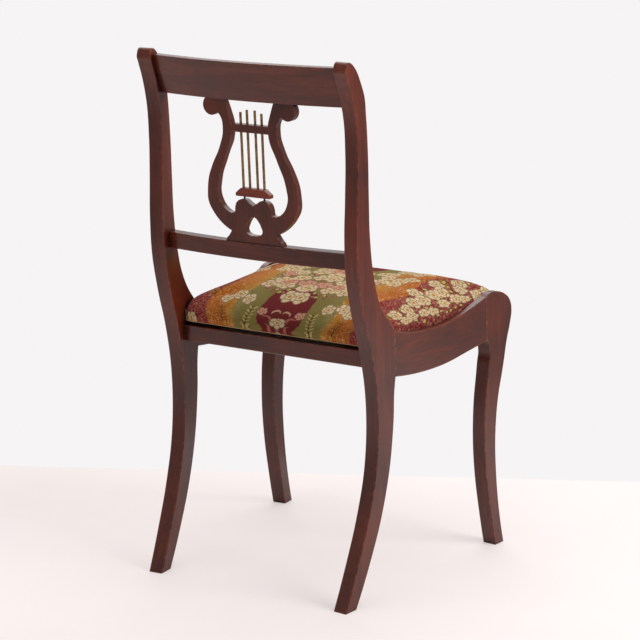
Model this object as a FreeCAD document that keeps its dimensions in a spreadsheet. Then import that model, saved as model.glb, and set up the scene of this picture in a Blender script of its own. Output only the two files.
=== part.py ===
import FreeCAD, Part
import math
import os

# Lyre back side chair with a drop-in seat, in millimetres
#
# The chair stands on the XY plane and faces -Y, and +X is the sitter's left. Each side of the chair is
# one flat frame, a sabre rear post, a side rail and a sabre front leg cut from 25 mm stock, and the two
# frames splay apart towards the front. Bowed crest and cross rails, a straight rear rail and a front
# rail join them on dowels, and a fretwork lyre stands between the crest rail and the cross rail.

Vector = FreeCAD.Vector
UP = Vector(0, 0, 1)
STRAIGHT = 1e-7
FLAT = 0.01

DRIVING_SIZES = [
    # name, millimetres or degrees, what it is
    ("overall_height", 836, "floor to the top of the post scrolls"),
    ("rear_width", 383.4, "outside width over the heels of the rear feet"),
    ("side_splay", 4.9, "degrees that each side frame turns outwards towards the front"),
    ("frame_stock", 25, "thickness of the posts, legs and side rails"),
    ("edge_ease", 1.1, "width taken off the edges of the wooden pieces, on each face"),
    ("sole_ease", 1.0, "width taken off round the soles of the feet"),
    ("rear_sweep", 92, "how far the rear leg sweeps forward of its heel"),
    ("rear_foot_depth", 25.8, "rear foot, heel to toe"),
    ("rear_head_depth", 46, "rear leg where the side rail joins it, back to front"),
    ("side_rail_length", 232, "side rail between its two joints"),
    ("rear_leg_height", 342, "floor to the underside of the side rail at the rear joint"),
    ("front_leg_height", 345.5, "floor to the underside of the side rail at the front joint"),
    ("rear_joint_top", 416, "floor to the top of the side rail at the rear joint"),
    ("rail_waist_top", 397.5, "floor to the lowest part of the side rail's top edge"),
    ("rail_waist_under", 333, "floor to the lowest part of the side rail's lower edge"),
    ("knee_height", 421.5, "floor to the top of the front leg's rounded knee"),
    ("knee_depth", 67, "front leg forward of its joint at the knee"),
    ("front_foot_depth", 22.5, "front foot, heel to toe"),
    ("crest_drop", 71.6, "top of the post scrolls down to the underside of the crest rail"),
    ("crest_rise", 61.6, "height of the crest rail"),
    ("crest_thickness", 16, "crest rail, back to front"),
    ("crest_bow", 15, "how far the middle of the crest rail bows backwards"),
    ("crest_recess", 12.5, "crest rail's back behind the post's back edge, lower edge"),
    ("crest_recess_top", 7, "the same at the rail's top edge"),
    ("cross_rise", 25.5, "height of the cross rail"),
    ("cross_thickness", 18, "cross rail, back to front"),
    ("cross_bow", 11, "how far the middle of the cross rail bows backwards"),
    ("cross_recess", 16, "cross rail's back forward of the post's back edge"),
    ("rear_rail_under", 361, "floor to the underside of the rear seat rail"),
    ("rear_rail_rise", 26, "height of the rear seat rail"),
    ("rear_rail_thickness", 22, "rear seat rail, back to front"),
    ("rear_rail_recess", 18, "rear seat rail's back forward of the post's back edge"),
    ("front_rail_under", 350, "floor to the underside of the front seat rail"),
    ("front_rail_inner", 35, "front seat rail's inner face forward of the front joint"),
    ("front_rail_setback", 3, "front seat rail's face behind the front legs"),
    ("lyre_thickness", 10.3, "lyre board, back to front"),
    ("string_diameter", 4, "lyre strings"),
    ("string_gap_inner", 14.8, "between the centres of the two inner strings"),
    ("string_gap_outer", 39.4, "between the centres of the two outer strings"),
    ("bridge_thickness", 11, "lyre bridge, back to front"),
    ("bridge_pin", 3, "diameter of the pins under the lyre bridge"),
    ("seat_level", 391, "floor to the underside of the drop-in seat"),
    ("seat_lip", 12, "width of the rail left outside the drop-in seat"),
    ("seat_clearance", 0.5, "gap between the drop-in seat and what it drops into"),
    ("seat_crown", 58.5, "drop-in seat from its underside to the top of its crown"),
    ("seat_frame_width", 48, "members of the seat frame"),
    ("seat_frame_thickness", 18, "members of the seat frame"),
    ("cloth", 1.4, "thickness of the seat cover"),
    ("strap_width", 50, "webbing strap"),
    ("strap_thickness", 1.2, "webbing strap"),
    ("block_leg", 60, "corner block along each rail"),
    ("block_height", 30, "corner block"),
    ("rail_dowel", 8, "diameter of the dowels in the back and the front rail"),
    ("side_dowel", 9.5, "diameter of the dowels in the side rails"),
    ("slim_dowel", 7, "diameter of the dowels in the rear seat rail"),
    ("lyre_dowel", 5, "diameter of the dowels that hold the lyre"),
    ("dowel_length", 38, "dowels in the rails"),
    ("lyre_dowel_length", 20, "dowels that hold the lyre"),
    ("bore_clearance", 0.05, "how much larger a bore is than its pin, on the radius"),
    ("screw_shank", 4, "diameter of the wood screws"),
    ("screw_head", 8, "diameter of the countersunk heads"),
    ("block_screw_length", 42, "screws through the corner blocks into the rails"),
    ("seat_screw_length", 45, "screws up through the corner blocks into the seat"),
]

# Outline shapes. A share runs from 0 at the foot or the rear end to 1 at the other end of its stretch.
# Rear leg: share of the leg height, share of the sweep, share of the way from foot depth to head depth
REAR_LEG = [(0, 0, 0), (0.175, 0.32, 0.24), (0.38, 0.655, 0.375), (0.585, 0.898, 0.4), (0.79, 1, 0.575),
            (0.965, 0.991, 0.92)]
# Rear post above the rail: share of the back's rise, millimetres behind the front of the rail joint
POST_FRONT = [(0.021, 7), (0.069, 22), (0.143, 36.5), (0.236, 45.2), (0.367, 50.1), (0.51, 49.6),
              (0.652, 48.3), (0.795, 49.6), (0.876, 52.6)]
POST_BACK = [(-0.062, 56.3), (0.081, 71.6), (0.224, 82), (0.367, 82.1), (0.51, 77.1), (0.652, 73.1),
             (0.795, 74.6), (0.905, 85)]
# Scroll over the top of the post: millimetres below the top, millimetres behind the rail joint
SCROLL = [(36.5, 58), (10, 71.5), (2.8, 78.5), (0, 85), (11, 94), (24, 90.6)]
# Front leg: share of the leg height, millimetres forward of the rail joint at its back and front edge
FRONT_LEG_BACK = [(0.174, -0.9), (0.347, -9.5), (0.52, -12.4), (0.695, -8.4), (0.868, 2.2), (0.955, 6.8)]
FRONT_LEG_FRONT = [(0.347, 17), (0.52, 16.7), (0.695, 25), (0.868, 42.9), (0.975, 53)]
FRONT_HEEL = 10.2
FRONT_LEG_CROOK = 2.5
# Knee: millimetres below the knee's top, share of the knee depth
KNEE = [(4.5, 0), (0, 0.194), (0.2, 0.328), (10, 0.761), (18, 0.903), (29, 0.985), (40, 1), (59, 0.933)]
# Cross rail's underside: share of the back's rise over the rail joint
CROSS_RAIL_PLACE = 0.2445
# Side rail: share of its length, share of the rise from the waist to that end
RAIL_TOP_REAR = [(0, 1), (0.034, 0.76), (0.155, 0.35), (0.366, 0.04)]
RAIL_TOP_FRONT = [(0.59, 0.04), (0.91, 0.72), (1, 1)]
RAIL_UNDER_REAR = [(0, 1), (0.47, 0)]
RAIL_UNDER_FRONT = [(0.87, 0.72), (1, 1)]


def make_sheet(doc):
    """Put the driving sizes into a spreadsheet and return it with their values by name."""
    sheet = doc.addObject("Spreadsheet::Sheet", "sizes")
    values = {}
    for row, (name, value, note) in enumerate(DRIVING_SIZES, start=1):
        sheet.set("A%d" % row, note)
        sheet.set("B%d" % row, str(value))
        sheet.setAlias("B%d" % row, name)
        values[name] = value
    doc.recompute()
    return sheet, values


class Chair:
    """The document, its sizes, and the places that several pieces share."""

    def __init__(self):
        self.doc = FreeCAD.newDocument("lyre_back_chair")
        self.sheet, values = make_sheet(self.doc)
        for name, value in values.items():
            setattr(self, name, value)
        self.splay = math.radians(self.side_splay)
        self.rear_joint = self.rear_sweep + self.rear_head_depth
        self.front_joint = self.rear_joint + self.side_rail_length
        self.front_rail_top = self.knee_height - KNEE[0][0]
        self.back_rise = self.overall_height - self.rear_joint_top
        self.crest_under = self.overall_height - self.crest_drop
        self.cross_under = self.rear_joint_top + CROSS_RAIL_PLACE * self.back_rise
        self.pieces = []

    def outer_half_width(self, y):
        """Half the chair's outside width at a depth."""
        return self.rear_width / 2 - math.tan(self.splay) * y

    def inner_half_width(self, y):
        """Half the clear width between the two side frames at a depth."""
        return self.outer_half_width(y) - self.frame_stock / math.cos(self.splay)

    def post_back(self, z):
        """Depth of the rear post's back edge at a height above the rail joint's level."""
        share = (z - self.rear_joint_top) / self.back_rise
        for (s0, d0), (s1, d1) in zip(POST_BACK, POST_BACK[1:]):
            if share <= s1:
                break
        return (d0 + (d1 - d0) * (share - s0) / (s1 - s0)) - self.rear_joint

    def bind(self, feature, prop, expression):
        feature.setExpression(prop, expression)

    def piece(self, shape_object, node):
        """Name a finished object as one piece of the chair."""
        shape_object.Label = node
        self.pieces.append(shape_object)
        return shape_object


def turn(start, middle, end):
    """Direction at the middle of three points of the circle through them."""
    before, after = middle - start, end - middle
    return (before * (after.Length / before.Length) + after * (before.Length / after.Length)).normalize()


def arc_from(start, direction, end):
    """The arc that leaves a point in a direction and ends at another point."""
    chord = end - start
    bend = math.atan2(chord.x * direction.y - chord.y * direction.x, chord.dot(direction))
    if abs(bend) < STRAIGHT:
        return Part.LineSegment(start, end)
    left = Vector(-chord.y, chord.x, 0)
    return Part.Arc(start, (start + end) * 0.5 + left * (math.tan(bend / 2) / 2), end)


def curve(points, first=None, last=None):
    """A smooth chain of arcs through the points, two arcs from each point to the next.

    The first and last directions may be given; elsewhere each point's neighbours set its direction.
    """
    stops = [Vector(x, y, 0) for x, y in points]
    ways = [turn(*stops[i - 1:i + 2]) for i in range(1, len(stops) - 1)]

    def end_way(end, inner, inner_way):
        """Direction at an end whose arc runs on from the inner point's direction."""
        chord = (inner - end).normalize()
        return (chord * (2 * chord.dot(inner_way)) - inner_way).normalize()

    if first is None:
        first = end_way(stops[0], stops[1], ways[0])
    if last is None:
        last = end_way(stops[-1], stops[-2], ways[-1])
    ways = [Vector(*first), *ways, Vector(*last)]
    arcs = []
    for start, end, leaving, arriving in zip(stops, stops[1:], ways, ways[1:]):
        span = end - start
        along = span.dot(leaving + arriving)
        turning = 2 * (1 - leaving.dot(arriving))
        if turning < STRAIGHT:
            reach = span.dot(span) / (2 * along)
        else:
            reach = (math.sqrt(along ** 2 + turning * span.dot(span)) - along) / turning
        joint = (start + leaving * reach + end - arriving * reach) * 0.5
        arcs += [arc_from(start, leaving, joint), arc_from(end, arriving * -1, joint)]
    return arcs


def polyline(points):
    return [Part.LineSegment(Vector(*p, 0), Vector(*q, 0)) for p, q in zip(points, points[1:])]


def arc(start, middle, end):
    return Part.Arc(Vector(*start, 0), Vector(*middle, 0), Vector(*end, 0))


def origin_part(body, role):
    return [f for f in body.Origin.OriginFeatures if f.Role == role][0]


def body_with_sketch(chair, name, plane, curves):
    """A body whose first sketch, on one of its own origin planes, holds the outline."""
    body = chair.doc.addObject("PartDesign::Body", name + "_body")
    sketch = body.newObject("Sketcher::SketchObject", name + "_outline")
    sketch.AttachmentSupport = [(origin_part(body, plane), "")]
    sketch.MapMode = "FlatFace"
    for curve in curves:
        sketch.addGeometry(curve, False)
    return body, sketch


def pad(chair, body, sketch, length, reverse=False, midplane=False):
    feature = body.newObject("PartDesign::Pad", sketch.Name.replace("outline", "pad"))
    feature.Profile = sketch
    chair.bind(feature, "Length", length)
    feature.Reversed = reverse
    feature.Midplane = midplane
    sketch.Visibility = False
    chair.doc.recompute()
    return feature


def ease_edges(chair, body, base, name, size, wanted):
    """Take the sharpness off the edges of a feature that a test picks out."""
    names = ["Edge%d" % i for i, edge in enumerate(base.Shape.Edges, start=1) if wanted(edge)]
    eased = body.newObject("PartDesign::Chamfer", name)
    eased.Base = (base, names)
    chair.bind(eased, "Size", size)
    chair.doc.recompute()
    return eased


def cut(chair, name, base, tool):
    feature = chair.doc.addObject("Part::Cut", name)
    feature.Base = base
    feature.Tool = tool
    return feature


def faceted_solid(rings):
    """The flat-faced solid over closed rings of corners, whose sides run parallel from ring to ring."""
    outlines = [rings[0], rings[-1]]
    for lower, upper in zip(rings, rings[1:]):
        for corner in range(len(lower)):
            outlines.append([lower[corner - 1], lower[corner], upper[corner], upper[corner - 1]])
    shell = Part.makeShell([Part.Face(Part.makePolygon(outline + outline[:1])) for outline in outlines])
    shell.sewShape()
    solid = Part.makeSolid(shell)
    if solid.Volume < 0:
        solid.reverse()
    return solid


def common(chair, name, base, tool):
    feature = chair.doc.addObject("Part::Common", name)
    feature.Base = base
    feature.Tool = tool
    return feature


def fixed_shape(chair, name, shape):
    feature = chair.doc.addObject("Part::Feature", name)
    feature.Shape = shape
    return feature


def bored_piece(chair, node, blank, bores):
    """Cut the bores that reach a blank out of it, and name it as a finished piece."""
    chair.doc.recompute()
    box = blank.Shape.BoundBox
    reaching = [bore for bore in bores if bore.BoundBox.intersect(box)]
    if not reaching:
        return chair.piece(blank, node)
    tool = fixed_shape(chair, node + "_bores", Part.makeCompound(reaching))
    return chair.piece(cut(chair, node + "_bored", blank, tool), node)


# Side frames

def side_placement(chair, side):
    """Where a side frame's own plane stands: x runs rearwards along it, y upwards, z to +X."""
    lean = chair.splay
    along = Vector(-side * math.sin(lean), math.cos(lean), 0)
    across = Vector(math.cos(lean), side * math.sin(lean), 0)
    matrix = FreeCAD.Matrix(along.x, 0, across.x, side * chair.rear_width / 2,
                            along.y, 0, across.y, 0,
                            0, 1, 0, 0,
                            0, 0, 0, 1)
    return FreeCAD.Placement(matrix)


def rear_post_outline(chair):
    """Sabre leg, rail joint, curved post and scroll, as x rearwards and y up in the frame's plane."""
    joint = chair.rear_joint
    top, rise = chair.overall_height, chair.back_rise
    depth_gain = chair.rear_head_depth - chair.rear_foot_depth

    def leg(share, sweep, depth):
        heel = -sweep * chair.rear_sweep
        toe = heel - chair.rear_foot_depth - depth * depth_gain
        return heel, toe, share * chair.rear_leg_height

    stations = [leg(*station) for station in REAR_LEG]
    front = [(-joint, chair.rear_joint_top)]
    front += [(back - joint, chair.rear_joint_top + share * rise) for share, back in POST_FRONT]
    scroll = [(back - joint, top - drop) for drop, back in SCROLL]
    back = [(back - joint, chair.rear_joint_top + share * rise) for share, back in reversed(POST_BACK)]
    leg_back = [(heel, z) for heel, toe, z in reversed(stations)]
    leg_front = [(toe, z) for heel, toe, z in stations] + [(-joint, chair.rear_leg_height)]
    return [*curve(front + scroll + back + leg_back),
            *polyline([leg_back[-1], leg_front[0]]),
            *curve(leg_front),
            *polyline([leg_front[-1], front[0]])]


def front_leg_outline(chair):
    joint = -chair.front_joint
    height = chair.front_leg_height
    heel = (joint - FRONT_HEEL, 0)
    toe = (heel[0] - chair.front_foot_depth, 0)
    leg_back = [heel] + [(joint - forward, share * height) for share, forward in FRONT_LEG_BACK]
    leg_back += [(joint - FRONT_LEG_CROOK, height - FRONT_LEG_CROOK), (joint, height)]
    knee = [(joint - share * chair.knee_depth, chair.knee_height - drop) for drop, share in KNEE]
    leg_front = [(joint - forward, share * height) for share, forward in reversed(FRONT_LEG_FRONT)]
    return [*curve(knee + leg_front + [toe]),
            *polyline([toe, heel]),
            *curve(leg_back),
            *polyline([leg_back[-1], knee[0]])]


def side_rail_outline(chair):
    rear, length = -chair.rear_joint, chair.side_rail_length

    def edge(waist, rear_end, front_end, rear_half, front_half):
        points = [(rear - share * length, waist + rise * (rear_end - waist)) for share, rise in rear_half]
        points += [(rear - share * length, waist + rise * (front_end - waist)) for share, rise in front_half]
        return points

    top = edge(chair.rail_waist_top, chair.rear_joint_top, chair.front_rail_top,
               RAIL_TOP_REAR, RAIL_TOP_FRONT)
    under = edge(chair.rail_waist_under, chair.rear_leg_height, chair.front_leg_height,
                 RAIL_UNDER_REAR, RAIL_UNDER_FRONT)
    return [*curve(top), *polyline([top[-1], under[-1]]), *curve(under), *polyline([under[0], top[0]])]


def side_member(chair, name, side, outline, with_foot):
    """One member of a side frame, padded from the frame's outer face inwards, edges eased."""
    body, sketch = body_with_sketch(chair, name, "XY_Plane", outline)
    tip = pad(chair, body, sketch, "sizes.frame_stock", reverse=side > 0)

    def on_a_curve(edge):
        return edge.Curve.TypeId == "Part::GeomCircle"

    tip = ease_edges(chair, body, tip, name + "_eased", "sizes.edge_ease", on_a_curve)
    if with_foot:
        ease_edges(chair, body, tip, name + "_sole_eased", "sizes.sole_ease",
                    lambda edge: edge.BoundBox.YMax < FLAT)
    body.Placement = side_placement(chair, side)
    return body


# Rails between the side frames

def between_frames(chair):
    """The room between the two side frames, which every cross member is trimmed to."""
    rear, front = 0, -(chair.front_joint + chair.knee_depth + chair.frame_stock)
    corners = [Vector(side * chair.inner_half_width(y), y, 0)
               for side, y in ((1, rear), (1, front), (-1, front), (-1, rear), (1, rear))]
    return fixed_shape(chair, "room_between_frames",
                       Part.Face(Part.makePolygon(corners)).extrude(UP * 2 * chair.overall_height))


def bowed_rail(chair, name, section, back_middle, bow, room, edge_test):
    """A rail of constant section, swung round a far vertical axis and trimmed between the frames."""
    half_chord = chair.inner_half_width(back_middle)
    radius = (half_chord ** 2 + bow ** 2) / (2 * bow)
    body, sketch = body_with_sketch(chair, name, "YZ_Plane",
                                    polyline([(y - back_middle + radius, z) for y, z in section]))
    turned = body.newObject("PartDesign::Revolution", name + "_turned")
    turned.Profile = sketch
    turned.ReferenceAxis = (origin_part(body, "Z_Axis"), [""])
    turned.Angle = 2 * math.degrees(math.asin((half_chord + chair.frame_stock) / radius))
    turned.Midplane = True
    body.Placement.Base.y = back_middle - radius
    chair.doc.recompute()
    ease_edges(chair, body, turned, name + "_eased", "sizes.edge_ease", edge_test)
    return common(chair, name + "_blank", body, room)


def crest_rail(chair, room):
    under, top = chair.crest_under, chair.crest_under + chair.crest_rise
    back_low = chair.post_back(under) - chair.crest_recess + chair.crest_bow
    back_high = chair.post_back(top) - chair.crest_recess_top + chair.crest_bow
    thick = chair.crest_thickness
    section = [(back_low, under), (back_high, top), (back_high - thick, top), (back_low - thick, under),
               (back_low, under)]
    return bowed_rail(chair, "crest_rail", section, back_low, chair.crest_bow, room,
                      lambda edge: edge.Length > 5 * chair.crest_rise)


def cross_rail(chair, room):
    under, top = chair.cross_under, chair.cross_under + chair.cross_rise
    back = cross_rail_back(chair)
    front = back - chair.cross_thickness
    section = [(back, under), (back, top), (front, top), (front, under), (back, under)]
    return bowed_rail(chair, "cross_rail", section, back, chair.cross_bow, room,
                      lambda edge: edge.Length > 5 * chair.cross_rise)


def cross_rail_back(chair):
    """Depth of the cross rail's back at the middle of its bow."""
    level = chair.cross_under + chair.cross_rise / 2
    return chair.post_back(level) - chair.cross_recess + chair.cross_bow


def rear_rail_back(chair):
    level = chair.rear_rail_under + chair.rear_rail_rise
    return chair.post_back(level) - chair.rear_rail_recess


def straight_rail(chair, name, section, room, long_edge):
    body, sketch = body_with_sketch(chair, name, "YZ_Plane", section)
    widest = chair.outer_half_width(-chair.front_joint - chair.knee_depth)
    blank = pad(chair, body, sketch, "%s mm" % (2 * widest), midplane=True)
    ease_edges(chair, body, blank, name + "_eased", "sizes.edge_ease",
                lambda edge: edge.BoundBox.XLength > widest and long_edge(edge))
    return common(chair, name + "_blank", body, room)


def rear_seat_rail(chair, room):
    back = rear_rail_back(chair)
    front = back - chair.rear_rail_thickness
    under, top = chair.rear_rail_under, chair.rear_rail_under + chair.rear_rail_rise
    section = polyline([(back, under), (back, top), (front, top), (front, under), (back, under)])
    return straight_rail(chair, "rear_seat_rail", section, room, lambda edge: True)


def front_seat_rail(chair, room):
    """Front rail whose face and rounded top follow the front legs' knees."""
    setback = chair.front_rail_setback
    slope = math.cos(chair.splay)
    face = [(-slope * (chair.front_joint + share * chair.knee_depth) + setback,
             chair.knee_height - drop - setback / 2) for drop, share in KNEE[3:]]
    inner = -(chair.front_joint + chair.front_rail_inner)
    under = (face[-1][0] + setback, chair.front_rail_under)
    top = (inner, face[0][1])
    section = [*polyline([(inner, chair.front_rail_under), top, face[0]]), *curve(face + [under]),
               *polyline([under, (inner, chair.front_rail_under)])]
    return straight_rail(chair, "front_seat_rail", section, room,
                         lambda edge: edge.BoundBox.ZMax < chair.front_rail_under + 1)


# Lyre, between the cross rail and the crest rail

# Half outlines in millimetres from the middle of the lyre, heights from the top of the cross rail
LYRE_FOOT = [(54, 0), (53.3, 2.5), (47.3, 9.5), (42.5, 16.5)]
LYRE_ARM_OUTER = [(42.5, 16.5), (76, 43), (84, 57), (84.8, 81), (82, 97), (75, 114.5), (58.5, 146), (51, 171),
                  (54, 192), (58.5, 198)]
LYRE_ARM_INNER = [(34.5, 171), (35.5, 164), (49, 131.5), (63, 96), (65.3, 69), (54.5, 51), (40.5, 44.8),
                  (36.4, 45.5), (34.2, 48.5)]
LYRE_HUMP = [(34.2, 48.5), (33.5, 55.5), (31, 61.5), (18.5, 67.8), (5, 61.2), (0, 58.3)]
LYRE_DROP = [(0, 41.3), (4.5, 39.6), (9, 35), (13, 28.5), (15.6, 17.5), (6.5, 12), (0, 11.6)]
LYRE_THROAT = [(34.5, 183.1), (35.3, 188), (37.8, 196), (46.5, 220.2)]
LYRE_SCROLL_CENTRE = (71.5, 208.8)
LYRE_SCROLL_RADIUS = 15.2
LYRE_SCROLL_START = math.radians(222)
LYRE_SCROLL_SIDE = math.radians(295)
CROSSBAR_UNDER = 171
CROSSBAR_TOP = 183.1
BRIDGE_UNDER = 71.6
BRIDGE_TOP = 84.8
BRIDGE_HALF_LENGTH = 32.5
BRIDGE_HALF_TOP = 22
BRIDGE_END_HEIGHT = 5
STRING_SINK = 6
STRING_TOP_INNER = 205
STRING_TOP_OUTER = 201
BRIDGE_PIN_REACH = 9
BRIDGE_PIN_SINK = 4.5
LYRE_FOOT_DOWEL = 25.5
LYRE_HEAD_DOWEL = 66.5


def lyre_middle(chair):
    """Depth of the middle of the lyre board, which stands on the middle of the cross rail."""
    return cross_rail_back(chair) - chair.cross_thickness / 2


def lyre_base(chair):
    return chair.cross_under + chair.cross_rise


def lyre_height_share(chair):
    """The drawn lyre is 220.2 high; this carries its heights to the room between the rails."""
    return (chair.crest_under - lyre_base(chair)) / LYRE_THROAT[-1][1]


def lyre_frame(chair):
    base = lyre_base(chair)
    share = lyre_height_share(chair)

    def place(points, side=1):
        return [(side * x, base + share * z) for x, z in points]

    cx, cz = LYRE_SCROLL_CENTRE
    radius = LYRE_SCROLL_RADIUS
    roof = LYRE_THROAT[-1][1]
    notch = LYRE_ARM_OUTER[-1]
    lobe = [(cx + radius * math.cos(angle), cz + radius * math.sin(angle))
            for angle in (LYRE_SCROLL_START, LYRE_SCROLL_SIDE, math.asin((roof - cz) / radius))]
    curves = []
    for points in (LYRE_FOOT, LYRE_ARM_OUTER, LYRE_THROAT, LYRE_ARM_INNER, LYRE_HUMP, LYRE_DROP):
        curves += curve(place(points)) + curve(place(points, -1))
    for side in (1, -1):
        curves.append(arc(*place(lobe, side)))
        curves += polyline(place([notch, lobe[0]], side))
        curves += polyline(place([lobe[-1], LYRE_THROAT[-1]], side))
    for level, run in ((0, LYRE_FOOT[0][0]), (CROSSBAR_TOP, LYRE_THROAT[0][0]),
                       (CROSSBAR_UNDER, LYRE_ARM_INNER[0][0])):
        curves += polyline(place([(run, level), (-run, level)]))
    body, sketch = body_with_sketch(chair, "lyre_frame", "XZ_Plane", curves)
    pad(chair, body, sketch, "sizes.lyre_thickness")
    body.Placement.Base.y = lyre_middle(chair) + chair.lyre_thickness / 2
    return body


PEG_SIDES = 8
STRING_SIDES = 16


def peg(start, direction, length, radius, end_radius=None, sides=PEG_SIDES):
    """A many-sided peg of about that radius, straight or tapered."""
    frame = FreeCAD.Placement(start, FreeCAD.Rotation(UP, direction))
    rings = []
    for reach, size in ((0, radius), (length, radius if end_radius is None else end_radius)):
        angles = [math.tau * number / sides for number in range(sides)]
        rings.append([frame.multVec(Vector(size * math.cos(angle), size * math.sin(angle), reach))
                      for angle in angles])
    return faceted_solid(rings)


def string_places(chair):
    inner, outer = chair.string_gap_inner / 2, chair.string_gap_outer / 2
    return [(outer, STRING_TOP_OUTER), (inner, STRING_TOP_INNER),
            (-inner, STRING_TOP_INNER), (-outer, STRING_TOP_OUTER)]


def lyre_string(chair, x, top, clearance=0):
    base, share = lyre_base(chair), lyre_height_share(chair)
    low = base + share * (BRIDGE_TOP - STRING_SINK) - clearance
    return peg(Vector(x, lyre_middle(chair), low), UP, base + share * top - low,
               chair.string_diameter / 2 + clearance, sides=STRING_SIDES)


def lyre_bridge(chair):
    """The low tapered block that the strings stand in."""
    base, share = lyre_base(chair), lyre_height_share(chair)
    under, top = base + share * BRIDGE_UNDER, base + share * BRIDGE_TOP
    ends = under + BRIDGE_END_HEIGHT
    outline = [(BRIDGE_HALF_LENGTH, under), (BRIDGE_HALF_LENGTH, ends), (BRIDGE_HALF_TOP, top),
               (-BRIDGE_HALF_TOP, top), (-BRIDGE_HALF_LENGTH, ends), (-BRIDGE_HALF_LENGTH, under),
               (BRIDGE_HALF_LENGTH, under)]
    body, sketch = body_with_sketch(chair, "lyre_bridge", "XZ_Plane", polyline(outline))
    blank = pad(chair, body, sketch, "sizes.bridge_thickness")
    ease_edges(chair, body, blank, "lyre_bridge_eased", "sizes.edge_ease", lambda edge: True)
    body.Placement.Base.y = lyre_middle(chair) + chair.bridge_thickness / 2
    return body


def bridge_pins(chair, clearance=0):
    """Two pins that stand in the lyre's humps and carry the bridge."""
    base, share = lyre_base(chair), lyre_height_share(chair)
    low = base + share * (BRIDGE_UNDER - BRIDGE_PIN_REACH) - BRIDGE_PIN_REACH / 2 - clearance
    high = base + share * BRIDGE_UNDER + BRIDGE_PIN_SINK + clearance
    x = chair.string_gap_outer / 2 - 1
    return [peg(Vector(side * x, lyre_middle(chair), low), UP, high - low, chair.bridge_pin / 2 + clearance)
            for side in (1, -1)]


def lyre_dowels(chair, clearance=0):
    """Dowels in the lyre's feet and scrolls, half their length in each piece."""
    half = chair.lyre_dowel_length / 2 + clearance
    places = [(LYRE_FOOT_DOWEL, lyre_base(chair)), (LYRE_HEAD_DOWEL, chair.crest_under)]
    return [peg(Vector(side * x, lyre_middle(chair), level - half), UP, 2 * half,
                chair.lyre_dowel / 2 + clearance) for x, level in places for side in (1, -1)]


# Dowels between the rails and the side frames

CREST_DOWELS = (0.26, 0.72)
REAR_DOWEL_MARGIN = 5.5
FRONT_DOWELS_UP = 11
FRONT_DOWELS_DOWN = 6.5
FRONT_DOWELS_FORWARD = 0.75
SIDE_DOWELS_UP = 14
SIDE_DOWELS_DOWN = 16


def rail_dowel_places(chair):
    """Height, depth and diameter name of each dowel at the end of a rail, front rail to crest rail."""
    crest = []
    for share in CREST_DOWELS:
        z = chair.crest_under + share * chair.crest_rise
        recess = chair.crest_recess + share * (chair.crest_recess_top - chair.crest_recess)
        crest.append((z, chair.post_back(z) - recess - chair.crest_thickness / 2))
    cross_end = cross_rail_back(chair) - chair.cross_bow
    cross = [(chair.cross_under + chair.cross_rise / 2, cross_end - chair.cross_thickness / 2)]
    rear_middle = rear_rail_back(chair) - chair.rear_rail_thickness / 2
    rear = [(chair.rear_rail_under + REAR_DOWEL_MARGIN, rear_middle),
            (chair.rear_rail_under + chair.rear_rail_rise - REAR_DOWEL_MARGIN, rear_middle)]
    front_middle = -(chair.front_joint + FRONT_DOWELS_FORWARD * chair.knee_depth)
    front = [(chair.front_rail_under + FRONT_DOWELS_UP, front_middle),
             (chair.seat_level - FRONT_DOWELS_DOWN, front_middle)]
    return [(crest, chair.rail_dowel), (cross, chair.rail_dowel), (front, chair.rail_dowel),
            (rear, chair.slim_dowel)]


def rail_dowels(chair, clearance=0):
    half = chair.dowel_length / 2 + clearance
    dowels = []
    for places, diameter in rail_dowel_places(chair):
        for z, y in places:
            for side in (1, -1):
                start = Vector(side * chair.inner_half_width(y) - half, y, z)
                dowels.append(peg(start, Vector(1, 0, 0), 2 * half, diameter / 2 + clearance))
    return dowels


def side_dowels(chair, clearance=0):
    """Two dowels at each end of each side rail, in the side frame's own plane."""
    radius = chair.side_dowel / 2 + clearance
    half = chair.dowel_length / 2 + clearance
    dowels = []
    for side in (1, -1):
        for joint, under, top in ((chair.rear_joint, chair.rear_leg_height, chair.rear_joint_top),
                                  (chair.front_joint, chair.front_leg_height, chair.front_rail_top)):
            for z in (under + SIDE_DOWELS_UP, top - SIDE_DOWELS_DOWN):
                start = Vector(-joint - half, z, -side * chair.frame_stock / 2)
                dowel = peg(start, Vector(1, 0, 0), 2 * half, radius)
                dowel.Placement = side_placement(chair, side)
                dowels.append(dowel)
    return dowels


# Corner blocks under the seat, and the screws through them

BLOCK_SCREW_SPREAD = 0.216
SEAT_SCREW_INSET = 0.28


def corner_blocks(chair):
    """Name, corner point and the two directions of each block's legs, along the rails."""
    rear_y = rear_rail_back(chair) - chair.rear_rail_thickness
    front_y = -(chair.front_joint + chair.front_rail_inner)
    blocks = []
    for place, y, onward in (("rear", rear_y, -1), ("front", front_y, 1)):
        for name, side in (("left", 1), ("right", -1)):
            corner = Vector(side * chair.inner_half_width(y), y, 0)
            lean = -side * onward * math.tan(chair.splay)
            along_side = Vector(lean, onward, 0).normalize()
            blocks.append(("corner_block_%s_%s" % (place, name), corner, Vector(-side, 0, 0), along_side))
    return blocks


def corner_block(chair, corner, inwards, along_side):
    leg = chair.block_leg
    low = Vector(0, 0, chair.seat_level - chair.block_height)
    points = [corner + low, corner + inwards * leg + low, corner + along_side * leg + low]
    return Part.Face(Part.makePolygon(points + points[:1])).extrude(UP * chair.block_height)


def screw(chair, head, direction, length, clearance=0):
    """A countersunk wood screw, from the face of its head to its tapered end."""
    shank, rim = chair.screw_shank / 2 + clearance, chair.screw_head / 2 + clearance
    sink = chair.screw_head / 2 - chair.screw_shank / 2
    cone = peg(head, direction, sink, rim, shank)
    return cone.fuse(peg(head + direction * sink, direction, length - sink, shank, shank / 2))


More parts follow.
